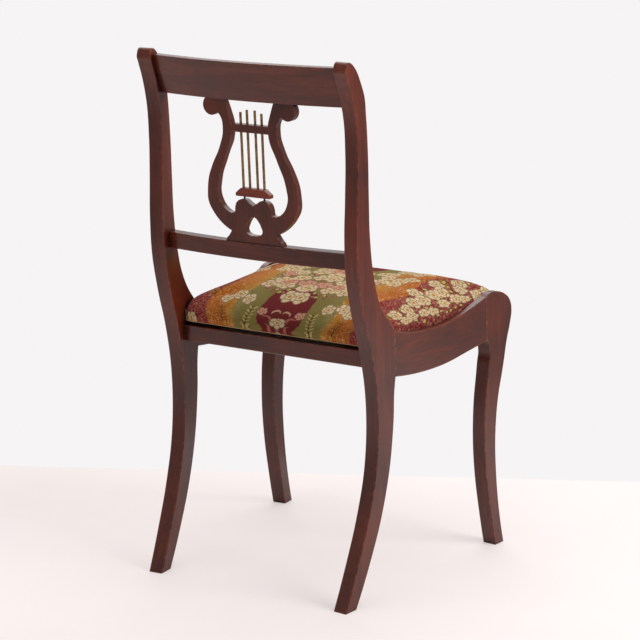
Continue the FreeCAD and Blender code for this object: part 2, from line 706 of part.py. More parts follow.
def block_screws(chair, clearance=0):
    """Two screws square through the long face of each corner block, one into each rail."""
    level = UP * (chair.rear_rail_under + chair.rear_rail_rise / 2)
    spread = BLOCK_SCREW_SPREAD * chair.block_leg
    screws = []
    for _, corner, inwards, along_side in corner_blocks(chair):
        first, second = corner + inwards * chair.block_leg, corner + along_side * chair.block_leg
        face_run = (second - first).normalize()
        inward = UP.cross(face_run)
        middle = (first + second) * 0.5
        if inward.dot(corner - middle) < 0:
            inward = inward * -1
        for step in (spread, -spread):
            screws.append(screw(chair, middle + face_run * step + level, inward,
                                chair.block_screw_length, clearance))
    return screws


def seat_screws(chair, clearance=0):
    """One screw up through each corner block into the seat frame."""
    screws = []
    inset = SEAT_SCREW_INSET * chair.block_leg
    for _, corner, inwards, along_side in corner_blocks(chair):
        foot = corner + (inwards + along_side) * inset + UP * (chair.seat_level - chair.block_height)
        screws.append(screw(chair, foot, UP, chair.seat_screw_length, clearance))
    return screws


# Drop-in seat

# Height over the seat's underside as a share of its crown, and how far the form has drawn in there
CUSHION_FORM = [(0, 2), (0.07, 0.2), (0.28, 0.2), (0.43, 3.2), (0.57, 10.5), (0.7, 24), (0.82, 46), (0.92, 78),
                (0.98, 112), (1, 140)]
CUSHION_CORNER = 22
CUSHION_CORNER_GAIN = 0.05
CUSHION_CORNER_LEAST = 4
CUSHION_CORNER_SIDES = 6
FRONT_LIP_EXTRA = 3
COVER_TURN_UNDER = 22
SEAT_LAYER_GAP = 0.15
NOTCH_SPARE = 1
TACK_LINE = 0.6
STRAPS_ACROSS = (0.25, 0.5, 0.75)
STRAP_SPREAD = 1.9
STRAP_CROSSING_GAP = 0.1


def seat_plan(chair, inset, level):
    """Corners of the seat's outline at a level: a trapezoid with round corners, drawn in by an inset."""
    back = rear_rail_back(chair) - inset
    front_face = -(chair.front_joint + chair.knee_depth) * math.cos(chair.splay)
    front = front_face + chair.seat_lip + FRONT_LIP_EXTRA + inset
    margin = chair.seat_lip + chair.seat_clearance + inset
    ends = [chair.outer_half_width(y) - margin / math.cos(chair.splay) for y in (back, front)]
    radius = max(CUSHION_CORNER - CUSHION_CORNER_GAIN * inset, CUSHION_CORNER_LEAST)
    points = [Vector(ends[0], back, level), Vector(-ends[0], back, level),
              Vector(-ends[1], front, level), Vector(ends[1], front, level)]
    outline = []
    for before, here, after in zip(points[-1:] + points[:-1], points, points[1:] + points[:1]):
        to_before, to_after = (before - here).normalize(), (after - here).normalize()
        half_turn = to_before.getAngle(to_after) / 2
        centre = here + (to_before + to_after).normalize() * (radius / math.sin(half_turn))
        start = here + to_before * (radius / math.tan(half_turn)) - centre
        step = (math.pi - 2 * half_turn) / CUSHION_CORNER_SIDES
        for number in range(CUSHION_CORNER_SIDES + 1):
            swing = FreeCAD.Rotation(UP, math.degrees(number * step))
            outline.append(centre + swing.multVec(start))
    return outline


def seat_prism(chair, inset, low, high):
    outline = seat_plan(chair, inset, low)
    return Part.Face(Part.makePolygon(outline + outline[:1])).extrude(UP * (high - low))


def cushion_form(chair, skin):
    """The crowned form of the seat, a skin's thickness inside its outer surface."""
    height = chair.seat_crown - 2 * skin
    return faceted_solid([seat_plan(chair, inset + skin, chair.seat_level + skin + share * height)
                          for share, inset in CUSHION_FORM])


def post_notches(chair, clearance):
    """The rear corners that the seat leaves free for the two posts."""
    reach = chair.rear_joint + chair.seat_clearance + NOTCH_SPARE - clearance
    notches = []
    for side in (1, -1):
        slab = Part.makeBox(reach, 2 * chair.seat_crown, 2 * chair.frame_stock,
                            Vector(-reach, chair.seat_level - 2, -chair.frame_stock))
        slab.translate(Vector(0, 0, -side * chair.seat_clearance))
        slab.Placement = side_placement(chair, side).multiply(slab.Placement)
        notches.append(slab)
    return Part.makeCompound(notches)


def seat_frame(chair, outline):
    """The four wooden members of the drop-in seat, butted at the corners."""
    width = chair.seat_frame_width
    box = outline.BoundBox
    low, high = box.ZMin, box.ZMax
    ring = outline.cut(seat_prism(chair, width, low - 1, high + 1))
    rear_line, front_line = box.YMax - width, box.YMin + width
    span = box.XMax + 1

    def between(y0, y1, x0, x1):
        return ring.common(Part.makeBox(x1 - x0, y1 - y0, high - low, Vector(x0, y0, low)))

    return [("seat_frame_rear", between(rear_line, box.YMax + 1, -span, span)),
            ("seat_frame_front", between(box.YMin - 1, front_line, -span, span)),
            ("seat_frame_left", between(front_line, rear_line, 0, span)),
            ("seat_frame_right", between(front_line, rear_line, -span, 0))]


def seat_webbing(chair, top):
    """Straps over the seat frame: three across, and three from front to back on top of them."""
    back, front = rear_rail_back(chair), -(chair.front_joint + chair.knee_depth)
    depth = back - front
    tack = TACK_LINE * chair.seat_frame_width
    straps = []
    for share in STRAPS_ACROSS:
        y = back - share * depth
        half = chair.outer_half_width(y) - chair.seat_lip - tack
        straps.append(Part.makeBox(2 * half, chair.strap_width, chair.strap_thickness,
                                   Vector(-half, y - chair.strap_width / 2, top)))
    for place in (-1, 0, 1):
        x = place * STRAP_SPREAD * chair.strap_width
        straps.append(Part.makeBox(chair.strap_width, depth - 2 * tack, chair.strap_thickness,
                                   Vector(x - chair.strap_width / 2, front + tack,
                                          top + chair.strap_thickness + STRAP_CROSSING_GAP)))
    return Part.makeCompound(straps)


def drop_in_seat(chair):
    """Name and solid of each piece of the seat, from the cover inwards."""
    cloth, gap, level = chair.cloth, SEAT_LAYER_GAP, chair.seat_level
    hollow = cushion_form(chair, cloth).cut(post_notches(chair, cloth))
    turned_under = seat_prism(chair, COVER_TURN_UNDER, level - 1, level + cloth + 1)
    cover = cushion_form(chair, 0).cut(post_notches(chair, 0)).cut(hollow).cut(turned_under)

    frame_low = level + cloth + gap
    frame_top = frame_low + chair.seat_frame_thickness
    dust = seat_prism(chair, COVER_TURN_UNDER + gap, frame_low - gap - cloth / 2, frame_low - gap)
    notches = post_notches(chair, cloth + gap)
    outline = seat_prism(chair, cloth + CUSHION_FORM[0][1] + gap, frame_low, frame_top).cut(notches)
    webbing = seat_webbing(chair, frame_top + gap)
    padding_low = webbing.BoundBox.ZMax + gap
    above = seat_prism(chair, 0, padding_low, level + chair.seat_crown + 1)
    padding = cushion_form(chair, cloth + gap).common(above).cut(notches)
    return [("seat_cover", cover), ("dust_cover", dust), ("seat_webbing", webbing),
            ("seat_padding", padding)] + seat_frame(chair, outline)


def centre_over_origin(chair):
    """Bring the middle of the chair's depth over the origin, with the soles on the ground."""
    boxes = [piece.Shape.optimalBoundingBox() for piece in chair.pieces if "_leg_" in piece.Label
             or "_post_" in piece.Label]
    middle = (max(box.YMax for box in boxes) + min(box.YMin for box in boxes)) / 2
    for piece in chair.pieces:
        piece.Placement = FreeCAD.Placement(Vector(0, -middle, 0), FreeCAD.Rotation())
    chair.doc.recompute()


def build():
    chair = Chair()
    bore = chair.bore_clearance
    room = between_frames(chair)
    bores = rail_dowels(chair, bore) + side_dowels(chair, bore) + lyre_dowels(chair, bore)
    bores += block_screws(chair, bore) + seat_screws(chair, bore) + bridge_pins(chair, bore)
    bores += [lyre_string(chair, x, top, bore) for x, top in string_places(chair)]
    recess = fixed_shape(chair, "seat_recess", seat_prism(
        chair, -chair.seat_clearance, chair.seat_level, chair.overall_height))

    for name, side in (("left", 1), ("right", -1)):
        post = side_member(chair, "back_post_" + name, side, rear_post_outline(chair), True)
        leg = side_member(chair, "front_leg_" + name, side, front_leg_outline(chair), True)
        rail = side_member(chair, "side_rail_" + name, side, side_rail_outline(chair), False)
        bored_piece(chair, "back_post_" + name, post, bores)
        bored_piece(chair, "front_leg_" + name, cut(chair, "front_leg_housed_" + name, leg, recess), bores)
        bored_piece(chair, "side_rail_" + name, cut(chair, "side_rail_housed_" + name, rail, recess), bores)

    front_rail = cut(chair, "front_seat_rail_housed", front_seat_rail(chair, room), recess)
    bored_piece(chair, "crest_rail", crest_rail(chair, room), bores)
    bored_piece(chair, "cross_rail", cross_rail(chair, room), bores)
    bored_piece(chair, "rear_seat_rail", rear_seat_rail(chair, room), bores)
    bored_piece(chair, "front_seat_rail", front_rail, bores)
    bored_piece(chair, "lyre_frame", lyre_frame(chair), bores)
    bored_piece(chair, "lyre_bridge", lyre_bridge(chair), bores)
    for number, (x, top) in enumerate(string_places(chair), start=1):
        node = "lyre_string_%d" % number
        chair.piece(fixed_shape(chair, node, lyre_string(chair, x, top)), node)
    for node, solids in (("bridge_pins", bridge_pins(chair)), ("lyre_dowels", lyre_dowels(chair)),
                         ("rail_dowels", rail_dowels(chair)), ("side_dowels", side_dowels(chair)),
                         ("block_screws", block_screws(chair)), ("seat_screws", seat_screws(chair))):
        chair.piece(fixed_shape(chair, node, Part.makeCompound(solids)), node)
    for name, corner, inwards, along_side in corner_blocks(chair):
        blank = fixed_shape(chair, name + "_blank", corner_block(chair, corner, inwards, along_side))
        bored_piece(chair, name, blank, bores)
    for node, solid in drop_in_seat(chair):
        bored_piece(chair, node, fixed_shape(chair, node + "_blank", solid), bores)
    chair.doc.recompute()
    centre_over_origin(chair)
    return chair


def write(chair):
    """Check every object and write each piece to its own STEP file."""
    failed = [o.Name for o in chair.doc.Objects if {"Invalid", "Error"} & set(o.State)]
    if failed:
        raise RuntimeError("failed objects: %s" % failed)
    os.makedirs("parts", exist_ok=True)
    for piece in chair.pieces:
        shape = piece.Shape
        if shape.isNull() or not shape.isValid():
            raise RuntimeError("bad shape: %s" % piece.Label)
        shape.exportStep(os.path.join("parts", piece.Label + ".step"))
        print("%-28s %2d solid(s) %10.1f mm3" % (piece.Label, len(shape.Solids), shape.Volume))


write(build())
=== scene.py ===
import bmesh
import bpy
import math
from mathutils import Matrix, Vector


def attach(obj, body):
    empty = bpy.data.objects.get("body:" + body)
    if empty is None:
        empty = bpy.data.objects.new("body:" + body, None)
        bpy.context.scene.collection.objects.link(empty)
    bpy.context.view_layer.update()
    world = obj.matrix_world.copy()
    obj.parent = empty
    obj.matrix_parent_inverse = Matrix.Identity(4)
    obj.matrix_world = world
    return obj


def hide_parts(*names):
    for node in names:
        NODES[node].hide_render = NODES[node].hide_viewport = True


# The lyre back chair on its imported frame, in metres, faces -Y and stands on Z = 0

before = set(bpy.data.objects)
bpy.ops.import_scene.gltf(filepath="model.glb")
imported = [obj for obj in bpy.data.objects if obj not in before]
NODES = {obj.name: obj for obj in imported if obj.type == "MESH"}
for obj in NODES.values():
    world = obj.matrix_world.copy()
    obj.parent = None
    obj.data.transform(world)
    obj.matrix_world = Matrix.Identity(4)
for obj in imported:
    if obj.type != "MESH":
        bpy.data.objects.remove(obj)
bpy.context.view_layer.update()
SCENE = bpy.context.scene
SCENE.view_settings.view_transform = "Standard"


def srgb(red, green, blue):
    """A colour written in 0 to 255 sRGB steps, as Blender's linear RGBA."""
    def linear(step):
        share = step / 255
        return share / 12.92 if share <= 0.04045 else ((share + 0.055) / 1.055) ** 2.4
    return (linear(red), linear(green), linear(blue), 1)


# Camera, at the photograph's viewing angle

CAMERA_PLACE = (-2.34787, 3.23673, 1.42943)
CAMERA_YAW, CAMERA_PITCH, CAMERA_ROLL = 35.8875, 14.6033, 2.1951
CAMERA_SENSOR, CAMERA_LENS = 36, 146.67
CAMERA_NEAR, CAMERA_FAR = 0.1, 50


def photo_camera():
    yaw, pitch, roll = (math.radians(angle) for angle in (CAMERA_YAW, CAMERA_PITCH, CAMERA_ROLL))
    forward = Vector((math.sin(yaw) * math.cos(pitch), -math.cos(yaw) * math.cos(pitch), -math.sin(pitch)))
    level = Vector((-math.cos(yaw), -math.sin(yaw), 0))
    steep = forward.cross(level)
    right = math.cos(roll) * level + math.sin(roll) * steep
    up = math.sin(roll) * level - math.cos(roll) * steep
    data = bpy.data.cameras.new("photo_camera")
    data.sensor_width = CAMERA_SENSOR
    data.lens = CAMERA_LENS
    data.clip_start = CAMERA_NEAR
    data.clip_end = CAMERA_FAR
    camera = bpy.data.objects.new("photo_camera", data)
    place = Matrix((right, up, -forward)).transposed().to_4x4()
    place.translation = CAMERA_PLACE
    camera.matrix_world = place
    SCENE.collection.objects.link(camera)
    SCENE.camera = camera


# Materials are built from nodes with short calls

class Nodes:
    """A node tree that grows by short calls."""

    def __init__(self, tree):
        self.tree = tree

    def add(self, kind, sockets, **settings):
        node = self.tree.nodes.new("ShaderNode" + kind)
        for key, value in settings.items():
            setattr(node, key, value)
        for key, value in sockets.items():
            self.feed(node.inputs[key], value)
        return node

    def feed(self, socket, value):
        if isinstance(value, bpy.types.NodeSocket):
            self.tree.links.new(value, socket)
        else:
            socket.default_value = value

    def math(self, operation, a, b=0.0, c=0.0, clamp=False):
        return self.add("Math", {0: a, 1: b, 2: c}, operation=operation, use_clamp=clamp).outputs[0]

    def vector(self, operation, *values):
        return self.add("VectorMath", dict(enumerate(values)), operation=operation).outputs[0]

    def length(self, vector):
        return self.add("VectorMath", {0: vector}, operation="LENGTH").outputs["Value"]

    def split(self, vector):
        return self.add("SeparateXYZ", {"Vector": vector}).outputs

    def mix(self, share, first, second, blend="MIX"):
        node = self.add("Mix", {}, data_type="RGBA", blend_type=blend)
        for socket, value in (("Factor_Float", share), ("A_Color", first), ("B_Color", second)):
            self.feed(next(s for s in node.inputs if s.identifier == socket), value)
        return next(s for s in node.outputs if s.identifier == "Result_Color")

    def step(self, value, low, high, floor=0.0, top=1.0):
        """The floor below low, the top above high, and a smooth rise between."""
        sockets = {"Value": value, "From Min": low, "From Max": high, "To Min": floor, "To Max": top}
        return self.add("MapRange", sockets, interpolation_type="SMOOTHSTEP").outputs[0]

    def ramp(self, value, stops):
        node = self.add("ValToRGB", {"Fac": value})
        for element in list(node.color_ramp.elements)[1:]:
            node.color_ramp.elements.remove(element)
        for number, (place, colour) in enumerate(stops):
            element = node.color_ramp.elements[0] if number == 0 else node.color_ramp.elements.new(place)
            element.position = place
            element.color = colour
        return node.outputs[0]

    def noise(self, vector, scale=1.0, detail=3.0, roughness=0.5, distortion=0.0):
        sockets = {"Vector": vector, "Scale": scale, "Detail": detail, "Roughness": roughness,
                   "Distortion": distortion}
        return self.add("TexNoise", sockets).outputs["Fac"]

    def here(self, scale, shift=(0, 0, 0)):
        """The place on the piece in metres, stretched along each axis by a scale."""
        place = self.add("TexCoord", {}).outputs["Object"]
        return self.add("Mapping", {"Vector": place, "Scale": scale, "Location": shift}).outputs[0]

    def bump(self, height, distance, strength=1.0, normal=None):
        sockets = {"Height": height, "Distance": distance, "Strength": strength}
        if normal is not None:
            sockets["Normal"] = normal
        return self.add("Bump", sockets).outputs[0]


class Shader(Nodes):
    """A material whose tree ends in one surface shader."""

    def __init__(self, name):
        self.material = bpy.data.materials.new(name)
        self.material.use_nodes = True
        super().__init__(self.material.node_tree)
        self.tree.nodes.clear()
        self.output = self.tree.nodes.new("ShaderNodeOutputMaterial")

    def finish(self, **sockets):
        """The surface shader's sockets are named with _ for spaces."""
        named = {key.replace("_", " "): value for key, value in sockets.items()}
        surface = self.add("BsdfPrincipled", named)
        self.tree.links.new(surface.outputs[0], self.output.inputs["Surface"])
        return self.material


class Motif(Nodes):
    """A reusable group of nodes that draws one motif of a pattern."""

    def __init__(self, name, inputs, outputs):
        super().__init__(bpy.data.node_groups.new(name, "ShaderNodeTree"))
        for direction, names in (("INPUT", inputs), ("OUTPUT", outputs)):
            for socket in names:
                form = "NodeSocketVector" if socket in ("Place", "Centre") else "NodeSocketFloat"
                self.tree.interface.new_socket(socket, in_out=direction, socket_type=form)
        self.given = self.tree.nodes.new("NodeGroupInput").outputs
        self.made = self.tree.nodes.new("NodeGroupOutput").inputs

    def from_centre(self):
        return self.vector("SUBTRACT", self.given["Place"], self.given["Centre"])

    def turned(self):
        """The place seen from the motif's centre and turned with it."""
        back = self.math("MULTIPLY", self.given["Turn"], -1.0)
        sockets = {"Vector": self.from_centre(), "Angle": back}
        return self.add("VectorRotate", sockets, rotation_type="Z_AXIS").outputs[0]

    def draw(self, shader, **sockets):
        node = shader.add("Group", {}, node_tree=self.tree)
        for key, value in sockets.items():
            shader.feed(node.inputs[key], value)
        return node.outputs


def dress(material, *names):
    for name in names:
        slots = NODES[name].data.materials
        slots.clear()
        slots.append(material)


# Wood: dark stained mahogany with a satin finish, rubbed lighter along its edges, with painted shade low down
# and in its corners

WOOD_TONES = [(0.32, (70, 21, 7)), (0.50, (90, 31, 11)), (0.68, (114, 44, 18))]
STAINS = [(0.3, srgb(186, 180, 182)), (0.52, srgb(245, 236, 230)), (0.68, srgb(255, 240, 222))]
PORE = srgb(30, 14, 11)
# Painted shade: the wood is darkened towards the bottom of each piece, fully below the first height and not
# at all above the second
LOW_PAINTED_SHADE = srgb(36, 15, 10)
LOW_PAINTED_SHADE_FULL, LOW_PAINTED_SHADE_END = 0.38, 0.66
WORN = srgb(150, 76, 38)
# Dark glaze and painted shade in corners and crevices, found by ambient occlusion within a reach
GLAZE_AND_PAINTED_SHADE = srgb(30, 13, 10)
GLAZE_AND_SHADE_REACH = 0.012
EDGE_ROUNDING, EDGE_WEAR = 0.0012, 0.0035
# Texture scales across the grain and along it
FIGURE_SCALE, STREAK_SCALE, PORE_SCALE = (38, 4), (320, 12), (1500, 70)
FIGURE_SHARE, STREAK_SHARE = 0.55, 0.45
BARE_FIGURE_SCALE, SAW_SCALE = (120, 6), (900, 240)


def along(axis, fine, coarse):
    """Scales for a texture that runs along one axis."""
    return tuple(coarse if letter == axis else fine for letter in "XYZ")


def show_wood(name, axis, seed, tone=1.0):
    shader = Shader(name)
    shift = (0.37 * seed, 0.61 * seed, 0.83 * seed)
    figure = shader.noise(shader.here(along(axis, *FIGURE_SCALE), shift), 1, 4, 0.5, 0.5)
    streaks = shader.noise(shader.here(along(axis, *STREAK_SCALE), shift), 1, 3, 0.6)
    cloud = shader.noise(shader.here((9, 9, 9), shift), 1, 3, 0.55)
    pores = shader.noise(shader.here(along(axis, *PORE_SCALE), shift), 1, 2, 0.5)
    pore = shader.step(pores, 0.60, 0.72)
    blend = shader.math("MULTIPLY_ADD", figure, FIGURE_SHARE, shader.math("MULTIPLY", streaks, STREAK_SHARE))
    tones = [(place, srgb(*(step * tone for step in steps))) for place, steps in WOOD_TONES]
    colour = shader.ramp(blend, tones)
    colour = shader.mix(0.85, colour, shader.ramp(cloud, STAINS), "MULTIPLY")
    colour = shader.mix(shader.math("MULTIPLY", pore, 0.5), colour, PORE)
    height = shader.math("MULTIPLY_ADD", cloud, 0.12, shader.split(shader.here((1, 1, 1)))["Z"])
    # Painted shade, darker towards the bottom of the piece
    colour = shader.mix(shader.step(height, LOW_PAINTED_SHADE_FULL, LOW_PAINTED_SHADE_END, 0.30, 0.0), colour, LOW_PAINTED_SHADE)
    rounded = shader.add("Bevel", {"Radius": EDGE_ROUNDING}, samples=6).outputs[0]
    wide = shader.add("Bevel", {"Radius": EDGE_WEAR}, samples=6).outputs[0]
    true = shader.add("NewGeometry", {}).outputs["True Normal"]
    flatness = shader.add("VectorMath", {0: wide, 1: true}, operation="DOT_PRODUCT").outputs["Value"]
    rough_edge = shader.noise(shader.here((120, 120, 120), shift), 1, 4, 0.65)
    edge = shader.step(flatness, 0.995, 0.90)
    worn = shader.math("MULTIPLY", edge, shader.step(rough_edge, 0.42, 0.66, 0.0, 0.8))
    colour = shader.mix(worn, colour, WORN)
    # Dark glaze and painted shade: darker where other parts are near, as in corners and crevices
    near = shader.add("AmbientOcclusion", {"Distance": GLAZE_AND_SHADE_REACH}, samples=8).outputs["AO"]
    colour = shader.mix(shader.step(near, 0.35, 0.85, 0.75, 0.0), colour, GLAZE_AND_PAINTED_SHADE)
    satin = shader.step(cloud, 0.3, 0.7, 0.30, 0.44)
    roughness = shader.math("ADD", satin, shader.math("MULTIPLY", pore, 0.2))
    waves = shader.noise(shader.here((22, 22, 22), shift), 1, 2, 0.4)
    relief = shader.bump(waves, 0.0012, 0.25, rounded)
    relief = shader.bump(pore, 0.00012, 0.6, relief)
    return shader.finish(Base_Color=colour, Roughness=roughness, Normal=relief, Specular_IOR_Level=0.1,
                         Coat_Weight=0.7, Coat_Roughness=0.22)


def plain_wood(name, axis, seed, dark, light, roughness):
    """Bare wood of the hidden members and the dowels, sawn and unstained."""
    shader = Shader(name)
    shift = (0.41 * seed, 0.29 * seed, 0.53 * seed)
    figure = shader.noise(shader.here(along(axis, *BARE_FIGURE_SCALE), shift), 1, 4, 0.6, 0.4)
    colour = shader.ramp(figure, [(0.35, dark), (0.65, light)])
    saw = shader.noise(shader.here(along(axis, *SAW_SCALE), shift), 1, 2, 0.5)
    return shader.finish(Base_Color=colour, Roughness=roughness, Normal=shader.bump(saw, 0.0002, 0.6))


def metal(name, colour, tarnish, roughness):
    shader = Shader(name)
    spots = shader.noise(shader.here((420, 420, 160)), 1, 4, 0.6)
    drawn = shader.noise(shader.here((2400, 2400, 40)), 1, 2, 0.5)
    tint = shader.mix(shader.step(spots, 0.4, 0.68), colour, tarnish)
    gloss = shader.step(spots, 0.35, 0.7, roughness, roughness + 0.25)
    relief = shader.bump(drawn, 0.0001, 0.5)
    return shader.finish(Base_Color=tint, Metallic=0.85, Roughness=gloss, Normal=relief)


def woven(name, dark, light, pitch):
    """Plain weave of coarse thread, for the webbing and the dust cover."""
    shader = Shader(name)
    place = shader.split(shader.here((1, 1, 1)))
    turns = 2 * math.pi / pitch
    warp = shader.math("SINE", shader.math("MULTIPLY", place[0], turns))
    weft = shader.math("SINE", shader.math("MULTIPLY", place[1], turns))
    cloth = shader.math("MULTIPLY", warp, weft)
    slub = shader.noise(shader.here((300, 300, 300)), 1, 3, 0.6)
    colour = shader.mix(shader.step(slub, 0.3, 0.7), dark, light)
    colour = shader.mix(shader.step(cloth, -0.2, 0.9, 0, 0.4), colour, dark)
    return shader.finish(Base_Color=colour, Roughness=0.9, Normal=shader.bump(cloth, 0.0002, 0.8))


def dress_frame():
    grain = {
        "back_post_left": "Z", "back_post_right": "Z", "front_leg_left": "Z", "front_leg_right": "Z",
        "side_rail_left": "Y", "side_rail_right": "Y", "crest_rail": "X", "cross_rail": "X",
        "rear_seat_rail": "X", "front_seat_rail": "X", "lyre_frame": "Z", "lyre_bridge": "X",
    }
    tones = {"crest_rail": 0.92, "cross_rail": 0.9, "lyre_frame": 0.95, "lyre_bridge": 1.15}
    for seed, (node, axis) in enumerate(grain.items(), 1):
        dress(show_wood("show_wood_" + node, axis, seed, tones.get(node, 1.0)), node)
    for start, title, first, dark, light_tone, roughness in (
            ("corner_block", "block_wood_", 1, srgb(104, 70, 44), srgb(146, 104, 68), 0.7),
            ("seat_frame", "frame_wood_", 9, srgb(150, 116, 76), srgb(186, 150, 104), 0.75)):
        for seed, node in enumerate(sorted(n for n in NODES if n.startswith(start)), first):
            dress(plain_wood(title + node, "X", seed, dark, light_tone, roughness), node)
    dowels = plain_wood("dowel_wood", "X", 5, srgb(168, 132, 90), srgb(198, 164, 118), 0.6)
    dress(dowels, *(n for n in NODES if n.endswith("_dowels")))
    dress(show_wood("pin_wood", "Z", 31, 1.2), "bridge_pins")
    dress(metal("string_brass", srgb(150, 118, 78), srgb(96, 66, 44), 0.34),
          *(n for n in NODES if n.startswith("lyre_string")))
    dress(metal("screw_steel", srgb(150, 148, 144), srgb(92, 84, 76), 0.38), "block_screws", "seat_screws")
    dress(woven("webbing_jute", srgb(120, 92, 58), srgb(168, 138, 96), 0.0024), "seat_webbing")
    dress(woven("dust_cloth", srgb(22, 21, 22), srgb(40, 39, 40), 0.0009), "dust_cover")


WELD_GAP = 0.00001
SMOOTH_ANGLE = 24


def smooth_frame():
    """Joins the split corners of each CAD mesh and shades it smooth up to its real edges."""
    for node in NODES.values():
        weld = node.modifiers.new("weld", "WELD")
        weld.merge_threshold = WELD_GAP
        split = node.modifiers.new("split", "EDGE_SPLIT")
        split.split_angle = math.radians(SMOOTH_ANGLE)
        node.data.polygons.foreach_set("use_smooth", [True] * len(node.data.polygons))
        node.data.update()


# Drop-in seat: a crowned pad in tapestry, swollen by a short cloth simulation

# The seat's opening: its back and front, the underside of the cover and the splay of the side frames
SEAT_BACK = 0.1197
SEAT_FRONT = -0.2014
SEAT_LOW = 0.3911
SPLAY = math.tan(math.radians(4.9))
FRAME_BACK, FRAME_BACK_HALF_WIDTH = 0.2196, 0.1917
REBATE = 0.01255
POST_FRONT = 0.0806
POST_STOCK = 0.0251
# The pad's form: rise above its underside, and how far its outline is drawn in there
PAD_FORM = [(0.0, 0.0030), (0.004, 0.0008), (0.016, 0.0006), (0.0245, 0.0030), (0.0325, 0.0095),
            (0.0395, 0.0210), (0.0460, 0.0410), (0.0510, 0.0680), (0.0545, 0.1000), (0.0555, 0.1350)]
CORNER_RADIUS, LEAST_CORNER_RADIUS, CORNER_SHRINK = 0.022, 0.006, 0.05
CORNER_STEPS, SIDE_RUNS = 7, 14
# The block that cuts a notch for a post: its clearance, and its size past the pad
NOTCH_CLEARANCE, NOTCH_DOWN, NOTCH_UP, NOTCH_OUT = 0.0012, 0.02, 0.09, 0.03
# How far the swollen cover may stand past the seat's opening, and what it keeps clear of
OVERHANG_LEVEL, SIDE_OVERHANG, SIDE_GAP = 0.420, 0.0015, 0.0002
BACK_OVERHANG, FRONT_OVERHANG, POST_GAP = 0.0012, 0.0004, 0.0007
# The cloth simulation, which holds the cover where it is stapled to the seat's frame
PRESSURE, SWELL_FRAMES, SWELL_LIMIT, HELD_RISE = 4, 20, 0.004, 0.021
VOXEL = 0.005
HEM, HEM_RISE, FACING_DOWN = 0.022, 0.003, -0.8
COVER_THICKNESS = 0.001
# Where the pattern turns down: the height it turns from, and how far in from an edge it starts to
FOLD_LEVEL, FOLD_REACH = 0.437, 0.030


def outer_half_width(y):
    """From the middle of the chair to the outside of its side frame."""
    return FRAME_BACK_HALF_WIDTH + (FRAME_BACK - y) * SPLAY


def seat_half_width(y):
    return outer_half_width(y) - REBATE


def pad_ring(inset, height):
    """One level outline of the pad, drawn in by an inset, with round corners."""
    back, front = SEAT_BACK - inset, SEAT_FRONT + inset
    corners = [Vector((side * (seat_half_width(y) - inset), y, height))
               for side, y in ((1, back), (1, front), (-1, front), (-1, back))]
    ring = []
    for before, here, after in zip(corners[-1:] + corners[:-1], corners, corners[1:] + corners[:1]):
        radius = max(CORNER_RADIUS - CORNER_SHRINK * inset, LEAST_CORNER_RADIUS)
        to_before, to_after = (before - here).normalized(), (after - here).normalized()
        start, end = here + to_before * radius, here + to_after * radius
        for number in range(CORNER_STEPS + 1):
            share = number / CORNER_STEPS
            ring.append(start.lerp(here, share).lerp(here.lerp(end, share), share))
        far = after - to_after * radius
        ring.extend(end.lerp(far, number / SIDE_RUNS) for number in range(1, SIDE_RUNS))
    return ring


def solid_of(name, rings):
    """A closed solid through level rings of points, from the lowest to the highest."""
    mesh = bmesh.new()
    rings = [[mesh.verts.new(point) for point in ring] for ring in rings]
    for lower, upper in zip(rings, rings[1:]):
        for number in range(len(lower)):
            following = (number + 1) % len(lower)
            mesh.faces.new((lower[number], lower[following], upper[following], upper[number]))
    mesh.faces.new(rings[-1])
    mesh.faces.new(list(reversed(rings[0])))
    bmesh.ops.recalc_face_normals(mesh, faces=mesh.faces)
    data = bpy.data.meshes.new(name)
    mesh.to_mesh(data)
    mesh.free()
    solid = bpy.data.objects.new(name, data)
    SCENE.collection.objects.link(solid)
    return solid


def post_block(side):
    """The space that a post and its clearance take from a rear corner of the pad."""
    stock, rear = POST_STOCK + NOTCH_CLEARANCE, SEAT_BACK + NOTCH_OUT
    plan = [(side * (outer_half_width(y) - inner), y) for inner, y in
            ((stock, POST_FRONT), (-NOTCH_OUT, POST_FRONT), (-NOTCH_OUT, rear), (stock, rear))]
    return solid_of("post_block", [[(x, y, level) for x, y in plan]
                                   for level in (SEAT_LOW - NOTCH_DOWN, SEAT_LOW + NOTCH_UP)])


def apply_modifiers(piece):
    bpy.context.view_layer.update()
    evaluated = piece.evaluated_get(bpy.context.evaluated_depsgraph_get())
    made = bpy.data.meshes.new_from_object(evaluated)
    piece.modifiers.clear()
    old = piece.data
    piece.data = made
    bpy.data.meshes.remove(old)


def keep_in_seat(pad):
    """Draws back whatever swelled into the posts, the rebate or the rails below."""
    for vertex in pad.data.vertices:
        point = vertex.co
        side = 1 if point.x > 0 else -1
        across = abs(point.x)
        lip = seat_half_width(point.y) + (SIDE_OVERHANG if point.z > OVERHANG_LEVEL else -SIDE_GAP)
        across = min(across, lip)
        inner = outer_half_width(point.y) - POST_STOCK - POST_GAP
        if point.y > POST_FRONT and across > inner:
            if across - inner < point.y - POST_FRONT:
                across = inner
            else:
                point.y = POST_FRONT
        point.x = side * across
        point.y = max(min(point.y, SEAT_BACK + BACK_OVERHANG), SEAT_FRONT - FRONT_OVERHANG)
        point.z = max(point.z, SEAT_LOW)
    pad.data.update()


